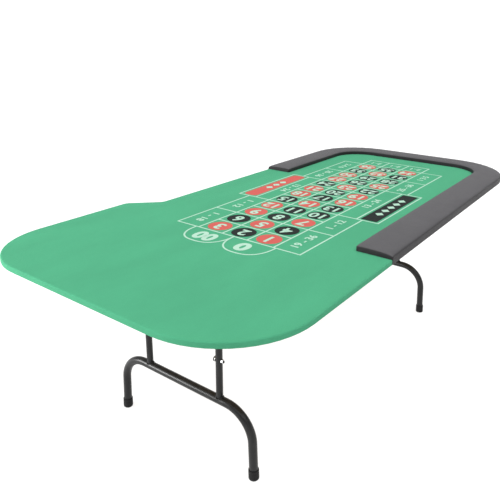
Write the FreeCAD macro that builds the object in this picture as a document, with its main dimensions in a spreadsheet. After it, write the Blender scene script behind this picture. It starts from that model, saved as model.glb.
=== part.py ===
"""Portable double-zero roulette table on two folding wishbone leg frames.

Frame: origin on the floor under the centre of the top, +X from the wheel end
towards the padded rail, +Y towards the dealer's side, +Z up. Millimetres.
"""
import FreeCAD, Part
import math
import os

from FreeCAD import Placement, Rotation, Vector

DIMENSIONS = {
    # table top
    "top_length": 2440.0,
    "top_width": 1220.0,
    "play_height": 757.0,
    "panel_thick": 15.0,
    "underlay_thick": 2.0,
    "cloth_thick": 1.0,
    "cloth_hem": 35.0,
    "edge_round": 4.0,
    "wheel_near_corner": 310.0,
    "wheel_far_corner": 265.0,
    "rail_corner": 305.0,
    "step_start": -531.0,
    "step_end": -418.0,
    "narrow_edge": 496.0,
    "step_blend": 45.0,
    # padded rail
    "rail_width": 140.0,
    "rail_rise": 24.0,
    "rail_near_start": -415.0,
    "rail_far_start": 382.0,
    "rail_round": 11.0,
    "cover_thick": 1.0,
    "cover_hem": 20.0,
    "core_thick": 9.0,
    "core_inset": 14.0,
    "rail_screw_inset": 14.0,
    "rail_end_screw_pitch": 190.0,
    # battens
    "batten_length": 1800.0,
    "batten_width": 40.0,
    "batten_height": 22.0,
    "batten_offset": 420.0,
    # leg frames
    "wheel_leg_place": -813.0,
    "rail_leg_place": 700.0,
    "pivot_depth": 35.0,
    "frame_tube_radius": 16.0,
    "upright_radius": 12.5,
    "top_tube_radius": 14.0,
    "tube_wall": 1.5,
    "bar_height": 252.0,
    "bend_radius": 115.0,
    "foot_spread": 329.0,
    "foot_splay": 2.4,
    "upright_offset": 177.0,
    "top_tube_half": 205.0,
    "cap_radius": 19.0,
    "cap_height": 40.0,
    "cap_floor": 5.0,
    "plug_depth": 12.0,
    "plug_rim": 2.5,
    # folding stays
    "bolt_height": 410.0,
    "bolt_radius": 4.0,
    "stay_reach": 390.0,
    "stay_depth": 10.0,
    "stay_width": 16.0,
    "stay_thick": 3.0,
    "stay_gap": 0.6,
    "side_gap": 0.3,
    "pin_clearance": 0.05,
    "knee_rod_radius": 4.0,
    "rivet_radius": 3.0,
    "washer_radius": 9.0,
    "link_space": 3.0,
    "bolt_head_radius": 10.0,
    "bolt_head_height": 5.0,
    "bolt_tail": 3.0,
    "nut_radius": 7.5,
    "nut_height": 6.5,
    "bracket_thick": 3.0,
    "ear_radius": 9.0,
    "flange_reach": 24.0,
    "flange_length": 40.0,
    "rivet_head_radius": 5.5,
    "rivet_head": 2.0,
    # fixings
    "block_half": 15.0,
    "block_offset": 115.0,
    "block_round": 20.0,
    "block_foot": 36.0,
    "block_foot_thick": 7.0,
    "cradle_wall": 3.0,
    "cradle_half_width": 20.0,
    "cradle_half_length": 34.0,
    "cradle_gap": 0.8,
    "cradle_lip": 6.0,
    "fixing_length": 14.0,
    "screw_radius": 2.2,
    "screw_head_radius": 4.5,
    "screw_head": 3.0,
}

doc = FreeCAD.newDocument("roulette_table")
sheet = doc.addObject("Spreadsheet::Sheet", "Sizes")
for row, (alias, value) in enumerate(DIMENSIONS.items(), start=1):
    sheet.set("A%d" % row, alias)
    sheet.set("B%d" % row, str(value))
    sheet.setAlias("B%d" % row, alias)
doc.recompute()

kept = []


def size(alias):
    """The value of one cell of the sheet."""
    return float(getattr(sheet, alias))


def bind(piece, **expressions):
    """Tie properties of an object to the sheet."""
    for name, expression in expressions.items():
        words = expression.replace("@", "Sizes.")
        piece.setExpression(name, words)
    return piece


def place(piece, spot, rotation=None):
    piece.Placement = Placement(Vector(*spot), rotation or Rotation())
    return piece


def keep(piece, label):
    """Give a finished sub-part its own name and put it on the list to export."""
    piece.Label = label
    kept.append(piece)
    return piece


def new(kind, name="piece"):
    return doc.addObject(kind, name)


def box(corner, length, width, height):
    piece = new("Part::Box", "block")
    for name, value in (("Length", length), ("Width", width), ("Height", height)):
        if isinstance(value, str):
            bind(piece, **{name: value})
        else:
            setattr(piece, name, value)
    return place(piece, corner)


def rod(start, direction, radius, length):
    """A round bar from start along direction."""
    piece = new("Part::Cylinder", "rod")
    for name, value in (("Radius", radius), ("Height", length)):
        if isinstance(value, str):
            bind(piece, **{name: value})
        else:
            setattr(piece, name, value)
    return place(piece, start, Rotation(Vector(0, 0, 1), Vector(*direction)))


def cut(base, *tools):
    for tool in tools:
        piece = new("Part::Cut", "cut")
        piece.Base = base
        piece.Tool = tool
        base = piece
    return base


def fuse(*pieces):
    whole = new("Part::MultiFuse", "joined")
    whole.Shapes = list(pieces)
    return whole


def group(pieces):
    """Separate solids that share one node."""
    whole = new("Part::Compound", "group")
    whole.Links = list(pieces)
    return whole


# ---------------------------------------------------------------- outlines

def rounded_face(corners):
    """A flat face from (x, y, radius) corners joined by tangent arcs."""
    runs = []
    count = len(corners)
    for index in range(count):
        x, y, radius = corners[index]
        here = Vector(x, y, 0)
        before = Vector(*corners[index - 1][:2], 0) - here
        after = Vector(*corners[(index + 1) % count][:2], 0) - here
        before.normalize()
        after.normalize()
        half = before.getAngle(after) / 2
        setback = radius / math.tan(half)
        centre_way = before + after
        centre_way.normalize()
        centre = here + centre_way * (radius / math.sin(half))
        middle = centre - centre_way * radius
        runs.append((here + before * setback, middle, here + after * setback, radius))
    edges = []
    for index in range(count):
        start, middle, end, radius = runs[index]
        following = runs[(index + 1) % count][0]
        if radius > 0:
            edges.append(Part.Arc(start, middle, end).toShape())
        if (following - end).Length > 1e-6:
            edges.append(Part.LineSegment(end, following).toShape())
    return Part.Face(Part.Wire(edges))


def top_corners(inset):
    """Corners of the whole top, moved inwards by inset."""
    end = size("top_length") / 2 - inset
    near = size("top_width") / 2 - inset
    narrow = size("narrow_edge") - inset
    shift = inset * math.tan(math.radians(22.5))
    wheel_near = size("wheel_near_corner") - inset
    wheel_far = size("wheel_far_corner") - inset
    rail = size("rail_corner") - inset
    blend = size("step_blend")
    return [
        (-end, -near, wheel_near),
        (end, -near, rail),
        (end, narrow, rail),
        (size("step_end") - shift, narrow, blend + inset),
        (size("step_start") - shift, near, blend - inset if blend > inset else 0),
        (-end, near, wheel_far),
    ]


def rail_corners(inset):
    """Corners of the U of the padded rail, moved inwards by inset."""
    end = size("top_length") / 2
    near = -size("top_width") / 2
    far = size("narrow_edge")
    width = size("rail_width")
    outer = size("rail_corner") - inset
    inner = size("rail_corner") - width + inset
    near_start = size("rail_near_start") + inset
    far_start = size("rail_far_start") + inset
    return [
        (near_start, near + inset, 0),
        (end - inset, near + inset, outer),
        (end - inset, far - inset, outer),
        (far_start, far - inset, 0),
        (far_start, far - width + inset, 0),
        (end - width + inset, far - width + inset, inner),
        (end - width + inset, near + width - inset, inner),
        (near_start, near + width - inset, 0),
    ]


def slab(corners, bottom, height):
    """An outline pushed up from bottom by a height taken from the sheet."""
    outline = new("Part::Feature", "outline")
    outline.Shape = rounded_face(corners)
    outline.Placement = Placement(Vector(0, 0, bottom), Rotation())
    piece = new("Part::Extrusion", "slab")
    piece.Base = outline
    piece.DirMode = "Custom"
    piece.Dir = Vector(0, 0, 1)
    piece.Solid = True
    if isinstance(height, str):
        bind(piece, LengthFwd=height)
    else:
        piece.LengthFwd = height
    return piece


def round_top(base, radius, bottom_free):
    """Round the upper rim of a slab; bottom_free is the height of the top."""
    doc.recompute()
    rim = []
    for number, edge in enumerate(base.Shape.Edges, start=1):
        if edge.BoundBox.ZMin > bottom_free - 0.01:
            rim.append((number, radius, radius))
    piece = new("Part::Fillet", "rounded")
    piece.Base = base
    piece.Edges = rim
    return piece


# ---------------------------------------------------------------- levels

CLOTH_TOP = size("play_height")
UNDERLAY_TOP = CLOTH_TOP - size("cloth_thick")
PANEL_TOP = UNDERLAY_TOP - size("underlay_thick")
UNDERSIDE = PANEL_TOP - size("panel_thick")
RAIL_TOP = CLOTH_TOP + size("rail_rise")
SKIN = size("cover_thick")
CLOTH_OUT = SKIN
PANEL_OUT = SKIN + size("cloth_thick")
PIVOT_Z = UNDERSIDE - size("pivot_depth")


# ---------------------------------------------------------------- screws

def screw(x, y, underneath, length):
    """A wood screw driven up into the top; underneath is where its head bears."""
    head = rod((x, y, underneath), (0, 0, -1), "@screw_head_radius", "@screw_head")
    shank = rod((x, y, underneath), (0, 0, 1), "@screw_radius", length)
    return fuse(head, shank)


# ---------------------------------------------------------------- table top

def padded_board():
    """The panel with its underlay, the upper edge eased all round."""
    board = slab(top_corners(PANEL_OUT), UNDERSIDE, UNDERLAY_TOP - UNDERSIDE)
    return round_top(board, size("edge_round"), UNDERLAY_TOP)


def wrapped_board():
    """The outside of the cloth-covered top."""
    hem_level = UNDERSIDE - size("cloth_thick")
    wrap = slab(top_corners(CLOTH_OUT), hem_level, CLOTH_TOP - hem_level)
    return round_top(wrap, size("edge_round") + size("cloth_thick"), CLOTH_TOP)


def whole_layer(bottom, height):
    """A block wider than the top, between two levels."""
    length = size("top_length")
    width = size("top_width")
    return box((-length, -width, bottom), 2 * length, 2 * width, height)


def build_top():
    underlay_space = whole_layer(PANEL_TOP, 2 * size("underlay_thick"))
    keep(cut(padded_board(), underlay_space), "plywood_panel")
    panel_space = whole_layer(UNDERSIDE - 1, size("panel_thick") + 1)
    keep(cut(padded_board(), panel_space), "foam_underlay")

    hem_drop = size("cloth_thick")
    hem_edge = top_corners(PANEL_OUT + size("cloth_hem"))
    opening = slab(hem_edge, UNDERSIDE - hem_drop - 1, hem_drop + 2)
    keep(cut(wrapped_board(), padded_board(), opening), "playing_cloth")

    half = size("batten_length") / 2
    for side, name in ((-1, "near"), (1, "far")):
        low = side * size("batten_offset") - size("batten_width") / 2
        corner = (-half, low, UNDERSIDE - size("batten_height"))
        bar = box(corner, "@batten_length", "@batten_width", "@batten_height")
        keep(bar, name + "_batten")
    drive = size("batten_height") + size("panel_thick") * 0.7
    screws = []
    for side in (-1, 1):
        for step in (-2, -1, 0, 1, 2):
            x = step * half * 0.45
            y = side * size("batten_offset")
            screws.append(screw(x, y, UNDERSIDE - size("batten_height"), drive))
    keep(group(screws), "batten_screws")


# ---------------------------------------------------------------- padded rail

def build_rail():
    skirt_bottom = UNDERSIDE - size("cloth_thick") - SKIN
    outer = slab(rail_corners(0), skirt_bottom, RAIL_TOP - skirt_bottom)
    outer = round_top(outer, size("rail_round"), RAIL_TOP)
    hollow_height = size("rail_rise") - SKIN
    hollow = slab(rail_corners(SKIN), CLOTH_TOP, hollow_height)
    hollow = round_top(hollow, size("rail_round") - SKIN, RAIL_TOP - SKIN)
    hem_edge = top_corners(size("cover_hem"))
    opening = slab(hem_edge, skirt_bottom - 1, SKIN + 2)
    keep(cut(outer, hollow, wrapped_board(), opening), "rail_cover")

    core = slab(rail_corners(size("core_inset")), CLOTH_TOP, "@core_thick")
    keep(core, "rail_core")
    pad = slab(rail_corners(SKIN), CLOTH_TOP, hollow_height)
    pad = round_top(pad, size("rail_round") - SKIN, RAIL_TOP - SKIN)
    space = slab(rail_corners(size("core_inset")), CLOTH_TOP, "@core_thick")
    keep(cut(pad, space), "rail_foam")

    middle = size("rail_width") / 2
    line = size("core_inset") + size("rail_screw_inset")
    near = -size("top_width") / 2 + middle
    far = size("narrow_edge") - line
    end = size("top_length") / 2 - middle
    last = size("top_length") / 2 - size("rail_corner")
    spots = []
    for start, y, count in (("rail_near_start", near, 4), ("rail_far_start", far, 3)):
        first = size(start) + size("rail_width") / 2
        for number in range(count):
            spots.append((first + (last - first) * number / (count - 1), y))
    for y in (-1, 0, 1):
        spots.append((end, (near + far) / 2 + y * size("rail_end_screw_pitch")))
    length = CLOTH_TOP - UNDERSIDE + size("core_thick") * 0.7
    keep(group([screw(x, y, UNDERSIDE, length) for x, y in spots]), "rail_screws")


# ---------------------------------------------------------------- stay geometry

def stay_lengths():
    """Link lengths of the knee stay: straight when open, level when folded."""
    arm = PIVOT_Z - size("bolt_height")
    lift = size("pivot_depth") - size("stay_depth")
    reach = size("stay_reach")
    whole = math.hypot(reach, arm + lift)
    side = reach - arm
    upper = (whole ** 2 - side ** 2 - lift ** 2) / (2 * (whole - side))
    return upper, whole - upper, math.atan2(arm + lift, reach)


# ---------------------------------------------------------------- leg frame

def bend_points():
    """Corner points of the wishbone tube in its own plane, as (y, z)."""
    splay = math.radians(size("foot_splay"))
    radius = size("bend_radius")
    bar = size("bar_height")
    arc_end_z = bar - radius + radius * math.sin(splay)
    arc_start_y = size("foot_spread") - radius * math.cos(splay) - arc_end_z * math.tan(splay)
    return splay, arc_start_y, arc_end_z


def wishbone_path(x):
    splay, flat, arc_end_z = bend_points()
    radius = size("bend_radius")
    bar = size("bar_height")
    rise = size("cap_floor")
    foot_y = size("foot_spread") - rise * math.tan(splay)
    turn = (math.pi / 2 + splay) / 2
    edges = []
    points = {}
    for side in (-1, 1):
        centre = Vector(x, side * flat, bar - radius)
        out = Vector(0, side * math.sin(turn), math.cos(turn))
        bend_end = Vector(x, side * (flat + radius * math.cos(splay)), arc_end_z)
        bend_start = Vector(x, side * flat, bar)
        foot = Vector(x, side * foot_y, rise)
        points[side] = (foot, bend_end, centre + out * radius, bend_start)
    foot, bend_end, middle, bend_start = points[-1]
    edges.append(Part.LineSegment(foot, bend_end).toShape())
    edges.append(Part.Arc(bend_end, middle, bend_start).toShape())
    edges.append(Part.LineSegment(bend_start, points[1][3]).toShape())
    foot, bend_end, middle, bend_start = points[1]
    edges.append(Part.Arc(bend_start, middle, bend_end).toShape())
    edges.append(Part.LineSegment(bend_end, foot).toShape())
    return Part.Wire(edges), points[-1][0]


def swept_round(path, start, direction, radius):
    section = new("Part::Circle", "section")
    bind(section, Radius=radius)
    place(section, start, Rotation(Vector(0, 0, 1), direction))
    piece = new("Part::Sweep", "bent_bar")
    piece.Sections = [section]
    piece.Spine = (path, ["Edge%d" % number for number in range(1, 6)])
    piece.Solid = True
    return piece


def build_wishbone(end, x):
    wire, start = wishbone_path(x)
    path = new("Part::Feature", "path")
    path.Shape = wire
    direction = wire.OrderedEdges[0].tangentAt(wire.OrderedEdges[0].FirstParameter)
    outside = swept_round(path, start, direction, "@frame_tube_radius")
    inside = swept_round(path, start, direction, "@frame_tube_radius - @tube_wall")
    keep(cut(outside, inside), end + "_wishbone_tube")

    splay = math.radians(size("foot_splay"))
    for side, name in ((-1, "near"), (1, "far")):
        up = (0, -side * math.sin(splay), math.cos(splay))
        foot = (x, side * size("foot_spread"), 0)
        spare = size("cap_radius") / 2
        below = tuple(foot[i] - spare * up[i] for i in range(3))
        seat = tuple(foot[i] + size("cap_floor") * up[i] for i in range(3))
        outer = rod(below, up, "@cap_radius", "@cap_height + @cap_radius / 2")
        bore = rod(seat, up, "@frame_tube_radius", "@cap_height")
        reach = 2 * size("cap_radius")
        floor = box((x - reach, foot[1] - reach, -reach), 2 * reach, 2 * reach, reach)
        keep(cut(outer, bore, floor), "%s_%s_foot_cap" % (end, name))


def build_uprights(end, x):
    bar = size("bar_height")
    for side, name in ((-1, "near"), (1, "far")):
        y = side * size("upright_offset")
        length = PIVOT_Z - bar
        outer = rod((x, y, bar), (0, 0, 1), "@upright_radius", length)
        bore = rod((x, y, bar), (0, 0, 1), "@upright_radius - @tube_wall", length)
        reach = 2 * size("upright_radius")
        start = y - reach
        saddle = rod((x, start, bar), (0, 1, 0), "@frame_tube_radius", 2 * reach)
        crown = rod((x, start, PIVOT_Z), (0, 1, 0), "@top_tube_radius", 2 * reach)
        hole = rod((x, start, size("bolt_height")), (0, 1, 0), "@bolt_radius", 2 * reach)
        keep(cut(outer, bore, saddle, crown, hole), "%s_%s_upright" % (end, name))
    half = size("top_tube_half")
    outer = rod((x, -half, PIVOT_Z), (0, 1, 0), "@top_tube_radius", "2 * @top_tube_half")
    bore = rod((x, -half, PIVOT_Z), (0, 1, 0), "@top_tube_radius - @tube_wall", 2 * half)
    keep(cut(outer, bore), end + "_pivot_tube")
    plugs = []
    depth = size("plug_depth")
    for side in (-1, 1):
        start = (x, side * (half - depth), PIVOT_Z)
        inner = rod(start, (0, side, 0), "@top_tube_radius - @tube_wall", "@plug_depth")
        rim = rod((x, side * half, PIVOT_Z), (0, side, 0), "@top_tube_radius", "@plug_rim")
        plugs.append(fuse(inner, rim))
    keep(group(plugs), end + "_tube_plugs")


def build_bolts(end, x):
    """Carriage bolt, spacer washer and nut where each stay joins its upright."""
    z = size("bolt_height")
    wall = size("upright_offset") - size("upright_radius")
    outer_wall = size("upright_offset") + size("upright_radius")
    washer = size("link_space") - size("side_gap")
    head_base = wall - size("link_space") - size("stay_thick") - size("side_gap")
    head_radius = size("bolt_head_radius")
    head_height = size("bolt_head_height")
    ball = (head_radius ** 2 + head_height ** 2) / (2 * head_height)
    nut_height = size("nut_height")
    bolts = []
    nuts = []
    washers = []
    for side in (-1, 1):
        dome = new("Part::Sphere", "dome")
        dome.Radius = ball
        dome.Angle1 = math.degrees(math.asin((ball - head_height) / ball))
        offset = head_base + (ball - head_height)
        place(dome, (x, side * offset, z), Rotation(Vector(0, 0, 1), Vector(0, -side, 0)))
        length = outer_wall + nut_height + size("bolt_tail") - head_base
        shank = rod((x, side * head_base, z), (0, side, 0), "@bolt_radius", length)
        bolts.append(fuse(dome, shank))
        nut = new("Part::Prism", "nut")
        nut.Polygon = 6
        bind(nut, Circumradius="@nut_radius", Height="@nut_height")
        place(nut, (x, side * outer_wall, z), Rotation(Vector(0, 0, 1), Vector(0, side, 0)))
        hole = rod((x, side * (outer_wall - 1), z), (0, side, 0), "@bolt_radius", nut_height + 2)
        nuts.append(cut(nut, hole))
        ring = rod((x, side * (wall - washer), z), (0, side, 0), "@washer_radius", washer)
        eye = rod((x, side * (wall - washer - 1), z), (0, side, 0), "@bolt_radius", washer + 2)
        washers.append(cut(ring, eye))
    keep(group(bolts), end + "_stay_bolts")
    keep(group(nuts), end + "_stay_nuts")
    keep(group(washers), end + "_stay_washers")


# ---------------------------------------------------------------- stays

def flat_link(start, direction, length, inner_face, side, holes):
    """A round-ended flat link; inner_face is its face nearest the middle."""
    half = size("stay_width") / 2
    turn = Rotation(Vector(1, 0, 0), Vector(*direction))
    low = inner_face if side > 0 else -inner_face - size("stay_thick")
    corner = Vector(start[0], low, start[2]) + turn.multVec(Vector(0, 0, -half))
    strip = box((0, 0, 0), length, "@stay_thick", "@stay_width")
    strip.Placement = Placement(corner, turn)
    pieces = [strip]
    finish = [start[i] + direction[i] * length for i in range(3)]
    for spot in (start, finish):
        pieces.append(rod((spot[0], low, spot[2]), (0, 1, 0), "@stay_width / 2", "@stay_thick"))
    link = fuse(*pieces)
    for spot, radius in holes:
        link = cut(link, rod((spot[0], low - 1, spot[2]), (0, 1, 0), radius, size("stay_thick") + 2))
    return link


def build_stays(end, x, inward):
    upper, lower, slope = stay_lengths()
    way = (-inward * math.cos(slope), 0, -math.sin(slope))
    head = (x + inward * size("stay_reach"), 0, UNDERSIDE - size("stay_depth"))
    knee = tuple(head[i] + way[i] * upper for i in range(3))
    bolt = (x, 0, size("bolt_height"))
    wall = size("upright_offset") - size("upright_radius")
    lower_face = wall - size("link_space") - size("stay_thick")
    upper_face = lower_face - size("stay_gap") - size("stay_thick")
    ear_thick = size("bracket_thick")
    ear_face = upper_face - size("stay_gap") - ear_thick
    ear_radius = size("ear_radius")
    flange = size("flange_reach")
    flange_length = size("flange_length")
    rivet_head = size("rivet_head")
    rivets = []
    screws = []
    for side, name in ((-1, "near"), (1, "far")):
        link_holes = [(bolt, "@bolt_radius + @pin_clearance")]
        piece = flat_link(knee, way, lower, lower_face, side, link_holes)
        keep(piece, "%s_%s_lower_stay" % (end, name))
        link_holes = [(head, "@rivet_radius + @pin_clearance"), (knee, "@knee_rod_radius")]
        piece = flat_link(head, way, upper, upper_face, side, link_holes)
        keep(piece, "%s_%s_upper_stay" % (end, name))

        low = ear_face if side > 0 else -ear_face - ear_thick
        ear = box((head[0] - ear_radius, low, head[2]), "2 * @ear_radius", ear_thick, "@stay_depth")
        lobe = rod((head[0], low, head[2]), (0, 1, 0), "@ear_radius", ear_thick)
        plate_low = ear_face - flange if side > 0 else -ear_face - ear_thick
        corner = (head[0] - flange_length / 2, plate_low, UNDERSIDE - ear_thick)
        plate = box(corner, "@flange_length", flange + ear_thick, ear_thick)
        hole = rod((head[0], low - 1, head[2]), (0, 1, 0), "@rivet_radius", ear_thick + 2)
        keep(cut(fuse(ear, lobe, plate), hole), "%s_%s_stay_bracket" % (end, name))

        outward = (0, side, 0)
        first = (head[0], side * (ear_face - rivet_head), head[2])
        inner_head = rod(first, outward, "@rivet_head_radius", "@rivet_head")
        shank_end = upper_face + size("stay_thick") + size("side_gap")
        shank = rod(first, outward, "@rivet_radius", shank_end - ear_face + rivet_head)
        last = (head[0], side * shank_end, head[2])
        outer_head = rod(last, outward, "@rivet_head_radius", "@rivet_head")
        rivets.append(fuse(inner_head, shank, outer_head))
        for way_x in (-1, 1):
            spot_x = head[0] + way_x * flange_length / 3
            spot_y = side * (ear_face - flange / 2)
            screws.append(screw(spot_x, spot_y, UNDERSIDE - ear_thick, "@fixing_length"))
    half = upper_face + size("stay_thick") + size("side_gap") / 2
    pin = rod((knee[0], -half, knee[2]), (0, 1, 0), "@knee_rod_radius", 2 * half)
    keep(pin, end + "_knee_rod")
    keep(group(rivets), end + "_stay_rivets")
    return screws


# ---------------------------------------------------------------- mountings

def build_mountings(end, x, inward, screws):
    """Pivot blocks and the cradle that holds the folded frame."""
    block_round = size("block_round")
    block_foot = size("block_foot")
    foot_thick = size("block_foot_thick")
    for side, name in ((-1, "near"), (1, "far")):
        low = side * size("block_offset") - size("block_half")
        width = 2 * size("block_half")
        body = box((x - block_round, low, PIVOT_Z), 2 * block_round, width, "@pivot_depth")
        round_end = rod((x, low, PIVOT_Z), (0, 1, 0), "@block_round", width)
        corner = (x - block_foot, low, UNDERSIDE - foot_thick)
        foot = box(corner, 2 * block_foot, width, "@block_foot_thick")
        bore = rod((x, low - 1, PIVOT_Z), (0, 1, 0), "@top_tube_radius + @pin_clearance", width + 2)
        keep(cut(fuse(body, round_end, foot), bore), "%s_%s_pivot_block" % (end, name))
        for way_x in (-1, 1):
            spot_x = x + way_x * (block_round + block_foot) / 2
            length = size("fixing_length") + foot_thick - size("cradle_wall")
            screws.append(screw(spot_x, side * size("block_offset"), UNDERSIDE - foot_thick, length))
    rest = x + inward * (PIVOT_Z - size("bar_height"))
    wall = size("cradle_wall")
    half_width = size("cradle_half_width")
    half_length = size("cradle_half_length")
    gap = size("frame_tube_radius") + size("cradle_gap")
    drop = size("pivot_depth") + size("cradle_lip")
    corner = (rest - half_length, -half_width, UNDERSIDE - wall)
    arms = [box(corner, 2 * half_length, 2 * half_width, "@cradle_wall")]
    for way in (-1, 1):
        low = rest + way * gap - (wall if way < 0 else 0)
        arms.append(box((low, -half_width, UNDERSIDE - drop), "@cradle_wall", 2 * half_width, drop))
        spot_x = rest + way * (gap + wall + half_length) / 2
        screws.append(screw(spot_x, 0, UNDERSIDE - wall, "@fixing_length"))
    keep(fuse(*arms), end + "_storage_cradle")
    keep(group(screws), end + "_fixing_screws")


def build_leg(end, x, inward):
    build_wishbone(end, x)
    build_uprights(end, x)
    build_bolts(end, x)
    screws = build_stays(end, x, inward)
    build_mountings(end, x, inward, screws)


build_top()
build_rail()
build_leg("wheel_end", size("wheel_leg_place"), 1)
build_leg("rail_end", size("rail_leg_place"), -1)
doc.recompute()

for item in doc.Objects:
    if "Invalid" in item.State or "Error" in item.State:
        raise RuntimeError("%s did not build: %s" % (item.Label, item.getStatusString()))

os.makedirs("parts", exist_ok=True)
for piece in kept:
    shape = piece.Shape
    if shape.isNull() or not shape.isValid() or not shape.Solids:
        raise RuntimeError("%s is not a valid solid" % piece.Label)
    shape.exportStep("parts/%s.step" % piece.Label)
    print("%-30s solids %2d  volume %.0f mm3" % (piece.Label, len(shape.Solids), shape.Volume))
upper_link, lower_link, stay_slope = stay_lengths()
print("links %.3f %.3f slope %.4f" % (upper_link, lower_link, math.degrees(stay_slope)))
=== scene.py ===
"""Looks of a portable double-zero roulette table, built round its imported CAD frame.

Metres, +Z up. The frame's origin is on the floor under the middle of the top, +X points from
the wheel end to the padded rail and +Y to the dealer's side.
"""

import math

import bmesh
import bpy
from mathutils import Euler, Matrix, Vector


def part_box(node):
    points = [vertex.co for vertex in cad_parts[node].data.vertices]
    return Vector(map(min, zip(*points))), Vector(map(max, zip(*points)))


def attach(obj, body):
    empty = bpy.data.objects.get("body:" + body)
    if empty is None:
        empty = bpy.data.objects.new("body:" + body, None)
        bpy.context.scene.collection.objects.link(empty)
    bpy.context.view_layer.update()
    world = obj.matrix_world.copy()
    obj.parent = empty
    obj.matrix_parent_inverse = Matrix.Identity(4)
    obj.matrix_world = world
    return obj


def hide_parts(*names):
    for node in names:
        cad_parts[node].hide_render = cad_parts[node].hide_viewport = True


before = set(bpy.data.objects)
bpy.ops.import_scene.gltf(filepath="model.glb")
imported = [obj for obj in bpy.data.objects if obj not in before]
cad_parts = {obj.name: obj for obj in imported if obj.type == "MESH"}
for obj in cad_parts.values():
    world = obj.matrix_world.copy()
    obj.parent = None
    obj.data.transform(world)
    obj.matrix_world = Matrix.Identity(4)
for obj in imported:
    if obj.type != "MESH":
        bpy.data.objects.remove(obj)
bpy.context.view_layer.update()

TOP = "table_top"
ENDS = ("wheel_end", "rail_end")
SIDES = ("near", "far")
UP = Vector((0, 0, 1))

cloth_low, cloth_high = (Vector(corner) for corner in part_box("playing_cloth"))
cover_low, cover_high = (Vector(corner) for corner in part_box("rail_cover"))

# table top: corners are radii, and the far edge steps in between the wheel's place and the rail
CLOTH_THICK = 0.001
CLOTH_TOP = cloth_high.z
HEM_REACH = 0.035
HEM_MIDDLE = 0.021
WHEEL_NEAR_CORNER = 0.309
WHEEL_FAR_CORNER = 0.264
RAIL_CORNER = 0.305
STEP_START_X = -0.531
STEP_END_X = -0.418
NARROW_EDGE_Y = 0.495
STEP_BLEND = 0.045
EDGE_ROUND = 0.005
EDGE_FLAT_START = 0.010
HEM_FOLD = 0.0016

# padded rail: its walls are the height at which the crown starts, outside and inside
RAIL_WIDTH = 0.140
RAIL_NEAR_START = cover_low.x
RAIL_FAR_START = 0.382
RAIL_TOP = cover_high.z
OUTER_WALL = 0.008
INNER_WALL = 0.014
OUTER_FLATNESS = 2.5
INNER_FLATNESS = 3.8
VINYL_THICK = 0.001
VINYL_HEM = 0.020
VINYL_FOLD = 0.004
RAIL_END_ROUND = 0.006
RAIL_LIFT = 0.0002
SKIRT_TOP = 0.002
SECTION_STEPS = 34
RAIL_END_STOPS = (0.0015, 0.003, 0.005, 0.008, 0.012, 0.018, 0.025)
PUCKER_PITCH = 0.045
PUCKER_DEPTH = 0.0012
PUCKER_REACH = 0.035
PUCKER_START = 0.006

# printed layout
CELL_X = 0.1162
CELL_Y = 0.1197
GRID_X = -0.566
GRID_Y = -0.2226
COLUMNS = 12
ROWS = 3
LINE_WIDTH = 0.0065
LINE_OVERLAP = 0.4
PRINT_RISE = 0.0003
PRINT_STEP = 0.0001

# outside bets: the Y of each band's outer line, of the strip inside a colour box and of the box
NEAR_BAND = -0.336
FAR_BAND = 0.250
NEAR_STRIP = -0.309
FAR_STRIP = 0.213
NEAR_BOX = -0.406
FAR_BOX = 0.309
BOX_COLUMNS = (4, 8)
BOX_MARGIN = LINE_WIDTH * 1.9
RED_BOX_CORNER = 0.020
BLACK_BOX_CORNER = 0.005
ZERO_REACH = 0.120
ZERO_OVERHANG = 0.012
SPOT_RADIUS = (0.0488, 0.0490)
RED_NUMBERS = (1, 3, 5, 7, 9, 12, 14, 16, 18, 19, 21, 23, 25, 27, 30, 32, 34, 36)

# numerals: height, added weight and width
CELL_NUMBER = (0.056, 0.0022, 1.0)
COLUMN_BET = (0.036, 0.001, 1.0)
ZERO = (0.066, 0.005, 1.15)
DOUBLE_ZERO = (0.066, 0.005, 1.0)
OUTSIDE_BET = (0.032, 0.0012, 1.15)
DIGIT_SHARE = 0.70
CURVE_STEPS = 4
DIAMOND_PITCH = 0.058
DIAMOND_HALF = (0.022, 0.019)

# staples that hold the hems
STAPLE_PITCH = 0.055
STAPLE_LENGTH = 0.010
STAPLE_WIRE = 0.0006
STAPLE_LEG = 0.0022
STAPLE_BEND = 0.0004
STAPLE_SUNK = 0.0005
CLOTH_STAPLE_INSET = 0.024
VINYL_STAPLE_INSET = 0.012
VINYL_STAPLE_START = 0.020


# ---------------------------------------------------------------- mesh helpers

def add_piece(name, mesh, body, finish, sharp=35):
    """An object for a mesh, smooth but for edges sharper than that angle, riding on a body."""
    mesh.validate()
    for face in mesh.polygons:
        face.use_smooth = True
    mesh.set_sharp_from_angle(angle=math.radians(sharp))
    piece = bpy.data.objects.new(name, mesh)
    bpy.context.scene.collection.objects.link(piece)
    mesh.materials.clear()
    mesh.materials.append(finish)
    if body:
        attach(piece, body)
    return piece


def mesh_of(name, shape):
    """A mesh from a bmesh, with its normals outwards."""
    bmesh.ops.recalc_face_normals(shape, faces=shape.faces)
    mesh = bpy.data.meshes.new(name)
    shape.to_mesh(mesh)
    shape.free()
    return mesh


def add_loft(shape, rings, wrap=False, caps=True):
    """Faces between closed rings of the same number of points, into a bmesh."""
    rows = [[shape.verts.new(point) for point in ring] for ring in rings]
    pairs = list(zip(rows, rows[1:]))
    if wrap:
        pairs.append((rows[-1], rows[0]))
    for low, high in pairs:
        for i in range(len(low)):
            j = (i + 1) % len(low)
            shape.faces.new((low[i], low[j], high[j], high[i]))
    if caps and not wrap:
        shape.faces.new(rows[0])
        shape.faces.new(rows[-1])


def add_plate(shape, outline, bottom, top):
    """A flat plate between two levels, into a bmesh."""
    add_loft(shape, [[(x, y, bottom) for x, y in outline], [(x, y, top) for x, y in outline]])


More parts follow.
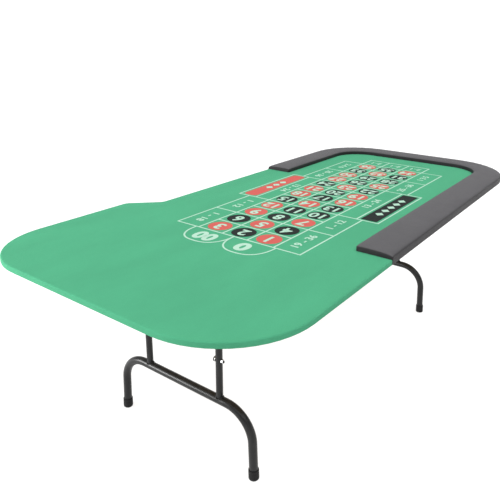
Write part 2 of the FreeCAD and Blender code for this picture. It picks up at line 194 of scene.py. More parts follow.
def run_round(corners, closed, spacing=0.05, arc_step=6.0):
    """[(point, left normal)] along corners (x, y, radius), arcs joined by straight runs."""
    count = len(corners)
    stops = []
    for i, (x, y, radius) in enumerate(corners):
        here = Vector((x, y))
        if not closed and i in (0, count - 1):
            other = Vector(corners[1 if i == 0 else count - 2][:2])
            way = (other - here if i == 0 else here - other).normalized()
            stops.append([(here, Vector((-way.y, way.x)))])
            continue
        before = (here - Vector(corners[i - 1][:2])).normalized()
        after = (Vector(corners[(i + 1) % count][:2]) - here).normalized()
        turn = math.atan2(before.cross(after), before.dot(after))
        reach = radius * math.tan(abs(turn) / 2)
        side = math.copysign(1, turn)
        left = Vector((-before.y, before.x))
        centre = here - before * reach + left * radius * side
        steps = max(2, round(abs(math.degrees(turn)) / arc_step))
        arc = []
        for k in range(steps + 1):
            normal = left.copy()
            normal.rotate(Matrix.Rotation(turn * k / steps, 2))
            arc.append((centre - normal * radius * side, normal))
        stops.append(arc)
    line = []
    for i, arc in enumerate(stops):
        line += arc
        if i == count - 1 and not closed:
            break
        start, normal = arc[-1]
        end = stops[(i + 1) % count][0][0]
        pieces = max(1, round((end - start).length / spacing))
        line += [(start.lerp(end, k / pieces), normal) for k in range(1, pieces)]
    return line


def top_line(inset=0.0):
    """The outline of the cloth-covered top, moved inwards, anticlockwise from above."""
    low, high = cloth_low, cloth_high
    shift = inset * math.tan(math.radians(22.5))
    corners = [
        (low.x + inset, low.y + inset, WHEEL_NEAR_CORNER - inset),
        (high.x - inset, low.y + inset, RAIL_CORNER - inset),
        (high.x - inset, NARROW_EDGE_Y - inset, RAIL_CORNER - inset),
        (STEP_END_X - shift, NARROW_EDGE_Y - inset, STEP_BLEND + inset),
        (STEP_START_X - shift, high.y - inset, max(STEP_BLEND - inset, 0.002)),
        (low.x + inset, high.y - inset, WHEEL_FAR_CORNER - inset),
    ]
    return run_round(corners, True)


def add_line(shape, points, level):
    """A printed line with mitred corners through points, into a bmesh."""
    corners = [Vector(point) for point in points]
    ways = [(after - before).normalized() for before, after in zip(corners, corners[1:])]
    sides = [Vector((-way.y, way.x)) for way in ways]
    left, right = [], []
    for i, corner in enumerate(corners):
        beside = sides[max(i - 1, 0) : i + 1]
        mitre = sum(beside, Vector((0, 0))).normalized()
        reach = LINE_WIDTH / 2 / mitre.dot(beside[0])
        left.append(corner + mitre * reach)
        right.append(corner - mitre * reach)
    add_plate(shape, left + right[::-1], CLOTH_TOP, level)


def ellipse(x, y, radius_x, radius_y, steps=48):
    """Points round an ellipse."""
    angles = [math.radians(360 * k / steps) for k in range(steps)]
    return [(x + radius_x * math.cos(a), y + radius_y * math.sin(a)) for a in angles]


def squarish_arc(x, y, radius_x, radius_y, power=2.5, steps=40):
    """The left half of a superellipse, from its top to its bottom."""
    points = []
    for k in range(steps + 1):
        angle = math.pi * (0.5 + k / steps)
        cosine, sine = math.cos(angle), math.sin(angle)
        reach = math.copysign(abs(cosine) ** (2 / power), cosine) if 0 < k < steps else 0.0
        rise = math.copysign(abs(sine) ** (2 / power), sine)
        points.append((x + radius_x * reach, y + radius_y * rise))
    return points


# ---------------------------------------------------------------- materials

def new_material(name, **sockets):
    """A Principled material whose sockets are given by name, with _ for a space."""
    made = bpy.data.materials.new(name)
    made.use_nodes = True
    shader = made.node_tree.nodes["Principled BSDF"]
    for label, value in sockets.items():
        socket = shader.inputs[label.replace("_", " ")]
        socket.default_value = (*value, 1) if isinstance(value, tuple) and len(value) == 3 else value
    return made


def add_node(made, kind, **inputs):
    """A node of a material, with its input values or links given by name."""
    node = made.node_tree.nodes.new(kind)
    for label, value in inputs.items():
        connect(made, value, node.inputs[label.replace("_", " ")])
    return node


def connect(made, value, socket):
    """Links an output to a socket, or sets the socket to a plain value."""
    if isinstance(value, bpy.types.NodeSocket):
        made.node_tree.links.new(value, socket)
    else:
        socket.default_value = value


def place_vector(made, stretch=(1, 1, 1)):
    """The object's own coordinates in metres, stretched."""
    source = made.node_tree.nodes.new("ShaderNodeTexCoord")
    mapping = add_node(made, "ShaderNodeMapping", Vector=source.outputs["Object"])
    mapping.inputs["Scale"].default_value = stretch
    return mapping.outputs["Vector"]


def noise(made, vector, scale, detail=3.0, roughness=0.5):
    """A noise pattern from 0 to 1."""
    node = add_node(
        made, "ShaderNodeTexNoise", Vector=vector, Scale=scale, Detail=detail, Roughness=roughness
    )
    return node.outputs["Fac"]


def cells(made, vector, scale, feature="F1"):
    """The distance pattern of scattered cells."""
    node = add_node(made, "ShaderNodeTexVoronoi", Vector=vector, Scale=scale)
    node.feature = feature
    return node.outputs["Distance"]


def ramp(made, factor, *stops):
    """Colours along a factor, each stop being (place, colour)."""
    node = add_node(made, "ShaderNodeValToRGB", Fac=factor)
    while len(node.color_ramp.elements) < len(stops):
        node.color_ramp.elements.new(0.5)
    for element, (position, colour) in zip(node.color_ramp.elements, stops):
        element.position = position
        element.color = (*colour, 1)
    return node.outputs["Color"]


def arithmetic(made, operation, first, second):
    """One Math node."""
    node = made.node_tree.nodes.new("ShaderNodeMath")
    node.operation = operation
    connect(made, first, node.inputs[0])
    connect(made, second, node.inputs[1])
    return node.outputs[0]


def spread(made, factor, low, high):
    """A factor from 0 to 1, stretched between two values."""
    node = add_node(made, "ShaderNodeMapRange", Value=factor)
    node.inputs["To Min"].default_value = low
    node.inputs["To Max"].default_value = high
    return node.outputs["Result"]


def multiply(made, first, second, amount):
    """One colour multiplied by another."""
    node = made.node_tree.nodes.new("ShaderNodeMix")
    node.data_type = "RGBA"
    node.blend_type = "MULTIPLY"
    node.inputs["Factor"].default_value = amount
    colours = [socket for socket in node.inputs if socket.type == "RGBA"]
    connect(made, first, colours[0])
    connect(made, second, colours[1])
    return [socket for socket in node.outputs if socket.type == "RGBA"][0]


def finish_material(made, colour=None, roughness=None, heights=()):
    """Links a colour, a roughness and a chain of bumps (height, depth in metres) to the shader."""
    shader = made.node_tree.nodes["Principled BSDF"]
    if colour is not None:
        connect(made, colour, shader.inputs["Base Color"])
    if roughness is not None:
        connect(made, roughness, shader.inputs["Roughness"])
    normal = None
    for height, depth in heights:
        bump = add_node(made, "ShaderNodeBump", Height=height, Distance=depth, Strength=1.0)
        if normal is not None:
            made.node_tree.links.new(normal, bump.inputs["Normal"])
        normal = bump.outputs["Normal"]
    if normal is not None:
        made.node_tree.links.new(normal, shader.inputs["Normal"])
    return made


def tint(colour, amount):
    """A colour made lighter or darker."""
    return tuple(min(1.0, part * amount) for part in colour)


def cloth_material(name, colour, sheen, variation=0.05):
    """Brushed speed cloth: a fine twill under short fibres, with faint nap marks."""
    made = new_material(
        name,
        Roughness=0.92,
        Sheen_Weight=sheen,
        Sheen_Roughness=0.45,
        Sheen_Tint=tint(colour, 1.6),
        Specular_IOR_Level=0.18,
    )
    plain = place_vector(made)
    nap = noise(made, place_vector(made, (1.0, 2.4, 1.0)), 2.6, 4.0, 0.6)
    fibres = noise(made, place_vector(made, (1.0, 0.35, 1.0)), 900.0, 2.0, 0.6)
    base = ramp(
        made, nap, (0.3, tint(colour, 1 - variation)), (0.7, tint(colour, 1 + variation))
    )
    flecks = ramp(made, fibres, (0.3, (0.82, 0.82, 0.82)), (0.7, (1.0, 1.0, 1.0)))
    warp = add_node(made, "ShaderNodeTexWave", Vector=plain, Scale=260.0, Distortion=1.2)
    warp.wave_type = "BANDS"
    warp.bands_direction = "DIAGONAL"
    weave = arithmetic(made, "ADD", warp.outputs["Fac"], arithmetic(made, "MULTIPLY", fibres, 1.5))
    return finish_material(
        made,
        colour=multiply(made, base, flecks, 0.6),
        heights=[(nap, 0.002), (weave, 0.00018)],
    )


def vinyl_material():
    """Black upholstery vinyl: pebbled grain, fine creases and faint patchy wear, with painted shade
    that darkens it as its faces turn from upwards, so the top reads lighter than the skirt and
    walls.
    """
    made = new_material("black_vinyl_grain", Roughness=0.5, Specular_IOR_Level=0.14)
    plain = place_vector(made)
    pebbles = cells(made, plain, 520.0, "SMOOTH_F1")
    creases = cells(made, place_vector(made, (1.0, 1.3, 1.0)), 190.0, "DISTANCE_TO_EDGE")
    folds = noise(made, plain, 14.0, 3.0, 0.5)
    dust = noise(made, plain, 6.0, 4.0, 0.6)
    worn = ramp(made, dust, (0.35, (0.072, 0.070, 0.075)), (0.7, (0.084, 0.082, 0.087)))
    # painted shade: the colour is multiplied down to 0.30 as the world normal turns from straight up
    # to the side, standing in for the dimmer light on the skirt and inner walls
    facing = made.node_tree.nodes.new("ShaderNodeNewGeometry")
    split = add_node(made, "ShaderNodeSeparateXYZ", Vector=facing.outputs["Normal"])
    painted_side_shade = ramp(made, split.outputs["Z"], (0.45, (0.30, 0.29, 0.30)), (0.97, (1.0, 1.0, 1.0)))
    colour = multiply(made, worn, painted_side_shade, 1.0)
    shade = ramp(made, pebbles, (0.0, (1.0, 1.0, 1.0)), (0.9, (0.72, 0.72, 0.72)))
    grain = arithmetic(made, "SUBTRACT", 1.0, pebbles)
    valley = arithmetic(made, "MINIMUM", arithmetic(made, "MULTIPLY", creases, 6.0), 1.0)
    return finish_material(
        made,
        colour=multiply(made, colour, shade, 0.5),
        roughness=spread(made, dust, 0.42, 0.56),
        heights=[(folds, 0.0015), (valley, 0.00015), (grain, 0.0003)],
    )


def painted_steel(name, colour, roughness, coat, peel=0.0002):
    """Stoved gloss paint on steel: orange peel, dust specks and faint wear."""
    made = new_material(
        name, Metallic=0.0, Specular_IOR_Level=0.3, Coat_Weight=coat, Coat_Roughness=0.12
    )
    plain = place_vector(made)
    peel_pattern = noise(made, plain, 420.0, 2.0, 0.5)
    specks = noise(made, plain, 1500.0, 1.0, 0.5)
    scuffs = noise(made, place_vector(made, (1.0, 1.0, 0.3)), 38.0, 5.0, 0.65)
    base = ramp(made, scuffs, (0.45, colour), (0.8, tuple(part + 0.012 for part in colour)))
    return finish_material(
        made,
        colour=base,
        roughness=spread(made, scuffs, roughness - 0.06, roughness + 0.1),
        heights=[(peel_pattern, peel), (specks, 0.00004)],
    )


def zinc_material():
    """Bright zinc plating with turning marks and small bruises."""
    made = new_material("zinc_plate", Metallic=1.0)
    plain = place_vector(made)
    marks = noise(made, place_vector(made, (1.0, 1.0, 14.0)), 260.0, 3.0, 0.6)
    cloud = noise(made, plain, 90.0, 4.0, 0.6)
    base = ramp(made, cloud, (0.3, (0.42, 0.43, 0.45)), (0.75, (0.56, 0.56, 0.55)))
    return finish_material(
        made, colour=base, roughness=spread(made, cloud, 0.2, 0.38), heights=[(marks, 0.00008)]
    )


def rubber_material():
    """Moulded black rubber, matt, with a fine texture and pale scuffs."""
    made = new_material("black_rubber_mould", Specular_IOR_Level=0.2)
    plain = place_vector(made)
    fine = noise(made, plain, 1100.0, 2.0, 0.5)
    scuffs = noise(made, plain, 55.0, 5.0, 0.7)
    base = ramp(made, scuffs, (0.5, (0.009, 0.009, 0.0095)), (0.85, (0.025, 0.025, 0.025)))
    return finish_material(
        made, colour=base, roughness=spread(made, scuffs, 0.55, 0.8), heights=[(fine, 0.0002)]
    )


def plastic_material():
    """Moulded black nylon with a spark-eroded surface."""
    made = new_material("black_nylon", Specular_IOR_Level=0.5)
    plain = place_vector(made)
    fine = noise(made, plain, 1600.0, 2.0, 0.5)
    flow = noise(made, plain, 30.0, 3.0, 0.5)
    base = ramp(made, flow, (0.3, (0.014, 0.014, 0.015)), (0.7, (0.022, 0.022, 0.023)))
    return finish_material(
        made, colour=base, roughness=spread(made, flow, 0.42, 0.55), heights=[(fine, 0.00012)]
    )


def wood_material(name, dark, light, ring_scale, stretch):
    """Planed or rotary-cut wood: long grain streaks, pores and growth bands along X."""
    made = new_material(name, Specular_IOR_Level=0.3)
    grain_place = place_vector(made, stretch)
    bands = add_node(
        made, "ShaderNodeTexWave", Vector=grain_place, Scale=ring_scale, Distortion=9.0, Detail=3.0
    )
    bands.bands_direction = "Y"
    bands.inputs["Detail Scale"].default_value = 1.4
    streaks = noise(made, place_vector(made, (1.5, 90.0, 90.0)), 3.0, 5.0, 0.65)
    pores = noise(made, place_vector(made, (6.0, 260.0, 260.0)), 4.0, 2.0, 0.5)
    mixed = arithmetic(
        made, "ADD", arithmetic(made, "MULTIPLY", bands.outputs["Fac"], 0.5),
        arithmetic(made, "MULTIPLY", streaks, 0.5),
    )
    base = ramp(made, mixed, (0.15, dark), (0.5, tint(light, 0.92)), (0.85, light))
    flecks = ramp(made, pores, (0.28, (0.55, 0.5, 0.45)), (0.42, (1.0, 1.0, 1.0)))
    return finish_material(
        made,
        colour=multiply(made, base, flecks, 0.7),
        roughness=spread(made, streaks, 0.5, 0.72),
        heights=[(mixed, 0.0004), (pores, 0.0002)],
    )


def foam_material():
    """Pale open-cell foam."""
    made = new_material("pale_foam", Roughness=0.95, Subsurface_Weight=0.1)
    bubbles = cells(made, place_vector(made), 700.0)
    base = ramp(made, bubbles, (0.0, (0.50, 0.48, 0.42)), (0.8, (0.70, 0.68, 0.60)))
    return finish_material(made, colour=base, heights=[(bubbles, 0.0006)])


GREEN = (0.057, 0.297, 0.160)
green_cloth = cloth_material("green_speed_cloth", GREEN, 0.12)
print_white = cloth_material("print_white", (0.36, 0.55, 0.44), 0.12, 0.02)
print_red = cloth_material("print_red", (0.48, 0.092, 0.079), 0.12, 0.04)
print_black = cloth_material("print_black", (0.012, 0.016, 0.015), 0.10, 0.10)
vinyl = vinyl_material()
black_tube = painted_steel("black_gloss_paint", (0.008, 0.0085, 0.009), 0.31, 0.0, 0.00004)
black_stay = painted_steel("black_satin_paint", (0.014, 0.014, 0.0145), 0.36, 0.15)
black_bolt = painted_steel("black_oxide", (0.018, 0.018, 0.019), 0.32, 0.0, 0.0001)
zinc = zinc_material()
rubber = rubber_material()
plastic = plastic_material()
plywood = wood_material(
    "birch_plywood_face", (0.40, 0.26, 0.14), (0.66, 0.50, 0.32), 1.1, (0.25, 3.0, 3.0)
)
pine = wood_material("planed_pine", (0.38, 0.20, 0.09), (0.62, 0.42, 0.22), 9.0, (0.3, 5.0, 5.0))
foam = foam_material()

NODE_FINISHES = {
    "foam_underlay": foam,
    "rail_foam": foam,
    "plywood_panel": plywood,
    "rail_core": plywood,
    "near_batten": pine,
    "far_batten": pine,
    "playing_cloth": green_cloth,
    "rail_cover": vinyl,
}
END_FINISHES = {
    "wishbone_tube": black_tube,
    "upright": black_tube,
    "pivot_tube": black_tube,
    "foot_cap": rubber,
    "tube_plugs": plastic,
    "storage_cradle": plastic,
    "pivot_block": plastic,
    "stay_bolts": black_bolt,
    "lower_stay": black_stay,
    "upper_stay": black_stay,
    "knee_rod": zinc,
    "stay_bracket": zinc,
    "screws": zinc,
    "nuts": zinc,
    "washers": zinc,
    "rivets": zinc,
}


def finish_nodes():
    """Gives every CAD node the material of its real finish."""
    for name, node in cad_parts.items():
        finish = NODE_FINISHES.get(name)
        if finish is None:
            finish = next(made for part, made in END_FINISHES.items() if name.endswith(part))
        node.data.materials.clear()
        node.data.materials.append(finish)


# ---------------------------------------------------------------- cloth and rail

def arc_profile(inset, level, radius, start, end, steps=5):
    """Points (inset, level) of a rounded edge, angles in degrees."""
    angles = [math.radians(start + (end - start) * k / steps) for k in range(steps + 1)]
    return [(inset + radius * math.cos(a), level + radius * math.sin(a)) for a in angles]


def edge_profile(gap):
    """The wrapped edge of the cloth from its hem to the top, moved inwards by a gap."""
    under = cloth_low.z + gap
    top = CLOTH_TOP - gap
    radius = EDGE_ROUND - gap
    fold = HEM_FOLD - gap
    profile = [(HEM_REACH, under), (HEM_MIDDLE, under)]
    profile += arc_profile(HEM_FOLD, under + fold, fold, 270, 180)
    profile += arc_profile(EDGE_ROUND, top - radius, radius, 180, 90)
    profile.append((EDGE_FLAT_START, top))
    return profile


def make_cloth():
    """The stretched playing cloth, wrapped round the panel's edge and hemmed underneath."""
    outer = edge_profile(0.0)
    inner = edge_profile(CLOTH_THICK)
    outline = top_line()
    shape = bmesh.new()
    rings = []
    for inset, level in inner[::-1] + outer:
        ring = [point + normal * inset for point, normal in outline]
        rings.append([(point.x, point.y, level) for point in ring])
    add_loft(shape, rings)
    area = sum(face.calc_area() for face in shape.faces) / 2
    cloth = add_piece("cloth_cover", mesh_of("cloth_cover", shape), TOP, green_cloth)
    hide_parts("playing_cloth")


def rail_height(across, along):
    """Height of the padded rail at a distance from its outer side and from its nearer end."""
    def swell(distance, flatness):
        share = min(1.0, max(0.0, distance / (RAIL_WIDTH / 2)))
        return (1 - (1 - share) ** flatness) ** (1 / flatness)
    outer = across < RAIL_WIDTH / 2
    near_side = across if outer else RAIL_WIDTH - across
    share = across / RAIL_WIDTH
    wall = OUTER_WALL + (INNER_WALL - OUTER_WALL) * share**2 * (3 - 2 * share)
    crown = RAIL_TOP - CLOTH_TOP - wall
    crown *= swell(near_side, OUTER_FLATNESS if outer else INNER_FLATNESS)
    return CLOTH_TOP + wall + crown * swell(along, INNER_FLATNESS)


def rail_section(along, bend):
    """One closed section (inset, level) of the cover: hem, skirt, padded top and underside."""
    under = cover_low.z
    fold = VINYL_FOLD
    gap = max(0.0, RAIL_END_ROUND - along)
    plan_round = RAIL_END_ROUND - math.sqrt(max(0.0, RAIL_END_ROUND**2 - gap**2))
    section = [(VINYL_HEM, under)]
    section += arc_profile(fold, under + fold, fold, 270, 180)
    section.append((0.0, CLOTH_TOP + SKIRT_TOP))
    for k in range(SECTION_STEPS + 1):
        turn = math.pi * k / SECTION_STEPS
        across = (1 - math.cos(turn)) / 2 * RAIL_WIDTH
        near_side = min(across, RAIL_WIDTH - across)
        fade = math.exp(-near_side / PUCKER_REACH)
        pucker = bend * fade * (1 - math.exp(-near_side / PUCKER_START))
        inset = min(max(across, plan_round), RAIL_WIDTH - plan_round)
        section.append((inset, rail_height(across, along) - pucker))
    section.append((RAIL_WIDTH - plan_round, CLOTH_TOP + RAIL_LIFT))
    section.append((VINYL_THICK + RAIL_LIFT, CLOTH_TOP + RAIL_LIFT))
    section += arc_profile(fold, under + fold, fold - VINYL_THICK, 180, 270)
    section.append((VINYL_HEM, under + VINYL_THICK))
    return section


def make_rail():
    """The padded rail: foam under stretched vinyl, pulled down over the edge and hemmed below."""
    low, high = cover_low, cover_high
    corners = [
        (RAIL_NEAR_START, low.y, 0),
        (high.x, low.y, RAIL_CORNER),
        (high.x, high.y, RAIL_CORNER),
        (RAIL_FAR_START, high.y, 0),
    ]
    line = run_round(corners, False, spacing=0.03, arc_step=3.0)
    start, start_normal = line[0]
    end, end_normal = line[-1]
    start_way = (line[1][0] - start).normalized()
    end_way = (line[-2][0] - end).normalized()
    line[-1:-1] = [(end + end_way * reach, end_normal) for reach in RAIL_END_STOPS[::-1]]
    line[1:1] = [(start + start_way * reach, start_normal) for reach in RAIL_END_STOPS]
    travelled = [0.0]
    for (before, _), (after, _) in zip(line, line[1:]):
        travelled.append(travelled[-1] + (after - before).length)
    total = travelled[-1]
    rings = []
    for (point, normal), run in zip(line, travelled):
        turning = min(abs(normal.x), abs(normal.y)) > 0.02
        wave = math.sin(run * 2 * math.pi / PUCKER_PITCH) ** 2
        section = rail_section(min(run, total - run), PUCKER_DEPTH * wave if turning else 0.0)
        rings.append([(*(point + normal * inset), level) for inset, level in section])
    shape = bmesh.new()
    add_loft(shape, rings)
    rail = add_piece("padded_rail", mesh_of("padded_rail", shape), TOP, vinyl, 50)
    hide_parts("rail_cover", "rail_foam")


# ---------------------------------------------------------------- printed layout

def cell_x(column):
    """X of a grid line, counted from the zeros."""
    return GRID_X + CELL_X * column


def cell_y(row):
    """Y of a grid line, counted from the near side."""
    return GRID_Y + CELL_Y * row


GRID_CENTRE = (cell_y(0) + cell_y(ROWS)) / 2


def make_lines():
    """The pale lines of the number grid, the outside bets, the zeros and the two colour boxes."""
    shape = bmesh.new()
    # lines that cross lie at levels half a step apart, so that no two faces share a plane
    levels = [CLOTH_TOP + PRINT_RISE + PRINT_STEP * (step / 2) for step in range(-1, 5)]
    under, low, between, high, higher, highest = levels
    for column in range(COLUMNS + 2):
        x = cell_x(column)
        add_line(shape, [(x, cell_y(0)), (x, cell_y(ROWS))], low)
    reach = LINE_WIDTH / 2
    for row in range(ROWS + 1):
        y = cell_y(row)
        add_line(shape, [(cell_x(0) - reach, y), (cell_x(COLUMNS + 1) + reach, y)], high)
    first, last = (cell_x(column) for column in BOX_COLUMNS)
    sides = (
        (cell_y(0), NEAR_BAND, NEAR_STRIP, NEAR_BOX),
        (cell_y(ROWS), FAR_BAND, FAR_STRIP, FAR_BOX),
    )
    for grid_edge, band, strip, box_edge in sides:
        out = math.copysign(reach, band)
        start = grid_edge - out * LINE_OVERLAP
        for ends in ((0, 4), (8, 12)):
            left, right = (cell_x(column) for column in ends)
            middle = (left + right) / 2
            add_line(shape, [(left, start), (left, band), (right, band), (right, start)], under)
            add_line(shape, [(middle, start), (middle, band - out)], between)
        add_line(shape, [(first, band), (first, box_edge), (last, box_edge), (last, band)], low)
        add_line(shape, [(first, strip), (last, strip)], high)
    near_zero = (higher, cell_y(0) - ZERO_OVERHANG)
    far_zero = (highest, cell_y(ROWS) + ZERO_OVERHANG)
    for level, edge in (near_zero, far_zero):
        radius = abs(edge - GRID_CENTRE) / 2
        line = squarish_arc(cell_x(0), (edge + GRID_CENTRE) / 2, ZERO_REACH, radius)
        add_line(shape, line, level)
    add_piece("layout_lines", mesh_of("layout_lines", shape), TOP, print_white, 30)


def number_at(column, row):
    """The number printed in a cell: rows run 1, 4, 7 ..., 2, 5, 8 ... and 3, 6, 9 ..."""
    return 3 * column + row + 1


def make_spots():
    """Red and black spots under the numbers, and the red and black bet boxes."""
    first, last = (cell_x(column) for column in BOX_COLUMNS)
    left, right = first + BOX_MARGIN, last - BOX_MARGIN
    layers = (
        ("red", print_red, FAR_STRIP, FAR_BOX, RED_BOX_CORNER),
        ("black", print_black, NEAR_BOX, NEAR_STRIP, BLACK_BOX_CORNER),
    )
    for colour, finish, box_low, box_high, corner in layers:
        shape = bmesh.new()
        for column in range(COLUMNS):
            for row in range(ROWS):
                is_red = number_at(column, row) in RED_NUMBERS
                if is_red != (colour == "red"):
                    continue
                x, y = cell_x(column + 0.5), cell_y(row + 0.5)
                add_plate(shape, ellipse(x, y, *SPOT_RADIUS), CLOTH_TOP, CLOTH_TOP + PRINT_RISE)
        bottom, top = box_low + BOX_MARGIN, box_high - BOX_MARGIN
        corners = [
            (left, bottom, corner),
            (right, bottom, corner),
            (right, top, corner),
            (left, top, corner),
        ]
        outline = [tuple(point) for point, _ in run_round(corners, True, 1.0, 30)]
        add_plate(shape, outline, CLOTH_TOP, CLOTH_TOP + PRINT_RISE)
        name = f"layout_{colour}_spots"
        add_piece(name, mesh_of(name, shape), TOP, finish, 30)


def add_numeral(shape, digits, x, y, turn, look):
    """Numerals centred at a place, their reading direction turned by some degrees."""
    height, weight, stretch = look
    letter = bpy.data.curves.new("numeral", "FONT")
    letter.body = digits
    letter.align_x = "CENTER"
    letter.align_y = "CENTER"
    letter.size = height / DIGIT_SHARE
    letter.offset = weight
    letter.resolution_u = CURVE_STEPS
    letter.extrude = PRINT_RISE / 2
    holder = bpy.data.objects.new("numeral", letter)
    bpy.context.scene.collection.objects.link(holder)
    depsgraph = bpy.context.evaluated_depsgraph_get()
    flat = bpy.data.meshes.new_from_object(holder.evaluated_get(depsgraph))
    move = Matrix.Translation((x, y, CLOTH_TOP + PRINT_RISE * 1.5))
    rotate = Matrix.Rotation(math.radians(turn), 4, "Z")
    widen = Matrix.Diagonal((stretch, 1, 1, 1))
    flat.transform(move @ rotate @ widen)
    shape.from_mesh(flat)
    bpy.data.objects.remove(holder)
    bpy.data.curves.remove(letter)
    bpy.data.meshes.remove(flat)


def add_diamond(shape, x, y):
    """A plain diamond mark."""
    half_x, half_y = DIAMOND_HALF
    outline = [(x + half_x, y), (x, y + half_y), (x - half_x, y), (x, y - half_y)]
    add_plate(shape, outline, CLOTH_TOP, CLOTH_TOP + PRINT_RISE * 2)


def make_numerals():
    """The numbers of the grid and of the outside bets. Diamonds and numbers stand for words."""
    shape = bmesh.new()
    for column in range(COLUMNS):
        for row in range(ROWS):
            x, y = cell_x(column + 0.5), cell_y(row + 0.5)
            add_numeral(shape, str(number_at(column, row)), x, y, 90, CELL_NUMBER)
    for row in range(ROWS):
        add_numeral(shape, "2-1", cell_x(COLUMNS + 0.5), cell_y(row + 0.5), 90, COLUMN_BET)
    quarter = (cell_y(ROWS) - cell_y(0)) / 4
    add_numeral(shape, "0", cell_x(-0.5), GRID_CENTRE - quarter, 90, ZERO)
    add_numeral(shape, "00", cell_x(-0.5), GRID_CENTRE + quarter, 90, DOUBLE_ZERO)
    near_bets = {1: "19 - 36", 3: "1 - 12", 6: "13 - 24", 9: "25 - 36", 11: "1 3 5"}
    far_bets = {1: "1 - 18", 3: "1 - 12", 6: "13 - 24", 9: "25 - 36", 11: "2 4 6"}
    sides = (
        (near_bets, cell_y(0), NEAR_BAND, NEAR_STRIP, 0),
        (far_bets, cell_y(ROWS), FAR_BAND, FAR_STRIP, 180),
    )
    for bets, grid_edge, band, strip, turn in sides:
        for column, digits in bets.items():
            y = (grid_edge + (strip if column == 6 else band)) / 2
            add_numeral(shape, digits, cell_x(column), y, turn, OUTSIDE_BET)
    for count, y in ((5, (NEAR_STRIP + NEAR_BOX) / 2), (3, (FAR_STRIP + FAR_BOX) / 2)):
        for k in range(count):
            add_diamond(shape, cell_x(6) + (k - (count - 1) / 2) * DIAMOND_PITCH, y)
    bmesh.ops.remove_doubles(shape, verts=shape.verts, dist=1e-6)
    name = "layout_numerals"
    add_piece(name, mesh_of(name, shape), TOP, print_white, 30)


# ---------------------------------------------------------------- leg details

BEAD_STEPS = 96
BEAD_SIDES = 8
BEAD_RIPPLES = 26
FOOT_BEAD = 0.0026
HEAD_BEAD = 0.0022


def node_box(name):
    """The low corner, high corner and middle of a CAD node's box."""
    low, high = (Vector(corner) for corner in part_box(name))
    return low, high, (low + high) / 2


def add_saddle_bead(shape, foot, along, small, large, bead):
    """A weld bead where a tube of radius small stands on a tube of radius large.

    foot is on the large tube's axis and along is that tube's direction. The small tube stands
    upwards."""
    third = along.cross(UP)
    rings = []
    for i in range(BEAD_STEPS):
        angle = 2 * math.pi * i / BEAD_STEPS
        out = along * math.cos(angle) + third * math.sin(angle)
        swell = 1 + 0.16 * math.sin(BEAD_RIPPLES * angle) + 0.05 * math.sin(5 * angle)
        reach = small + bead * 0.25
        side = reach * math.sin(angle)
        height = math.sqrt(max(large**2 - side**2, 0)) + bead * 0.15
        centre = foot + out * reach + UP * height
        ring = []
        for k in range(BEAD_SIDES):
            turn = 2 * math.pi * k / BEAD_SIDES
            ring.append(centre + (out * math.cos(turn) + UP * math.sin(turn)) * bead * swell)
        rings.append(ring)
    add_loft(shape, rings, wrap=True)


def add_hanging_bead(shape, head, along, small, large, bead):
    """A weld bead where the small tube hangs below the large one."""
    above = bmesh.new()
    add_saddle_bead(above, Vector((0, 0, 0)), along, small, large, bead)
    above.transform(Matrix.Translation(head) @ Matrix.Rotation(math.pi, 4, along))
    loose = bpy.data.meshes.new("bead")
    above.to_mesh(loose)
    above.free()
    shape.from_mesh(loose)
    bpy.data.meshes.remove(loose)


def make_welds():
    """Weld beads between the uprights and the wishbone, and under the pivot tube."""
    along = Vector((0, 1, 0))
    for end in ENDS:
        bar_low, bar_high, _ = node_box(f"{end}_wishbone_tube")
        pivot_low, pivot_high, pivot_middle = node_box(f"{end}_pivot_tube")
        bar_radius = (bar_high.x - bar_low.x) / 2
        pivot_radius = (pivot_high.x - pivot_low.x) / 2
        shape = bmesh.new()
        for side in SIDES:
            low, high, middle = node_box(f"{end}_{side}_upright")
            radius = (high.x - low.x) / 2
            foot = Vector((middle.x, middle.y, bar_high.z - bar_radius))
            head = Vector((middle.x, middle.y, pivot_middle.z))
            add_saddle_bead(shape, foot, along, radius, bar_radius, FOOT_BEAD)
            add_hanging_bead(shape, head, along, radius, pivot_radius, HEAD_BEAD)
        name = f"{end}_weld_beads"
        add_piece(name, mesh_of(name, shape), f"{end}_leg", black_tube, 60)


CAP_SPLAY = math.radians(2.4)
CAP_SOLE = ((0.0135, 0.0000), (0.0165, 0.0007), (0.0184, 0.0028), (0.0190, 0.0060))
CAP_LOWER_GROOVE = ((0.0190, 0.0130), (0.0186, 0.0142), (0.0186, 0.0150), (0.0190, 0.0162))
CAP_UPPER_GROOVE = ((0.0189, 0.0300), (0.0186, 0.0312), (0.0186, 0.0320), (0.0189, 0.0332))
CAP_RIM = ((0.0188, 0.0380), (0.0183, 0.0396), (0.0174, 0.0400), (0.0164, 0.0398))
CAP_BORE = ((0.01602, 0.0390), (0.01602, 0.0052))
CAP_PROFILE = CAP_SOLE + CAP_LOWER_GROOVE + CAP_UPPER_GROOVE + CAP_RIM + CAP_BORE


def make_foot_caps():
    """Rubber caps pushed over the feet, with a rounded sole and two moulded grooves."""
    radius = CAP_SOLE[-1][0]
    for end in ENDS:
        for side in SIDES:
            node = f"{end}_{side}_foot_cap"
            low, high, middle = node_box(node)
            outwards = math.copysign(1, middle.y)
            foot_y = (high.y if outwards > 0 else low.y) - outwards * radius
            lean = Matrix.Rotation(outwards * CAP_SPLAY, 4, "X")
            place = Matrix.Translation((middle.x, foot_y, low.z)) @ lean
            shape = bmesh.new()
            rings = []
            for reach, level in CAP_PROFILE:
                circle = ellipse(0, 0, reach, reach)
                rings.append([place @ Vector((x, y, level)) for x, y in circle])
            add_loft(shape, rings)
            for vert in shape.verts:
                vert.co.z = max(vert.co.z, low.z)
            name = f"{end}_{side}_rubber_foot"
            piece = add_piece(name, mesh_of(name, shape), f"{end}_leg", rubber, 40)
            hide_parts(node)


# ---------------------------------------------------------------- staples under the edge

